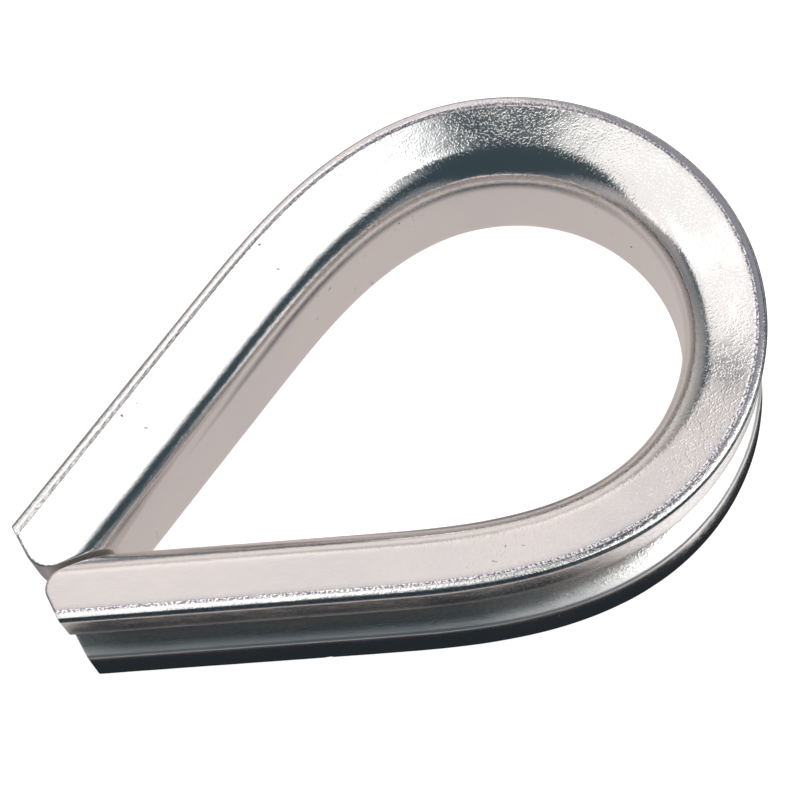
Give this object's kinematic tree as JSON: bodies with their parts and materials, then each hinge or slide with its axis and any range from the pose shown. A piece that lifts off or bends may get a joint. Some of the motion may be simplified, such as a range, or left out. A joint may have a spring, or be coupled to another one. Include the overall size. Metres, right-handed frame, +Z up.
{
  "type": "wire rope thimble",
  "caption": "Teardrop wire rope thimble: a thick bright metal strip bent to an eye, with an outward rope groove between leaning flanges and a slit where its cut tips meet.",
  "frame": {"origin": "middle of the bounding box in X and Y, on the surface that the lower rims rest on", "axes": "+X from the cut tips to the round crown, +Y across the eye, +Z up through the thickness; the part lies flat on its lower rims"},
  "size_m": [0.0354, 0.0238, 0.0079],
  "materials": {
    "bright_steel": "bright plated steel with a fine satin grain and small marks"
  },
  "bodies": {
    "root": {"thimble_body": "bright_steel"}
  },
  "joints": []
}
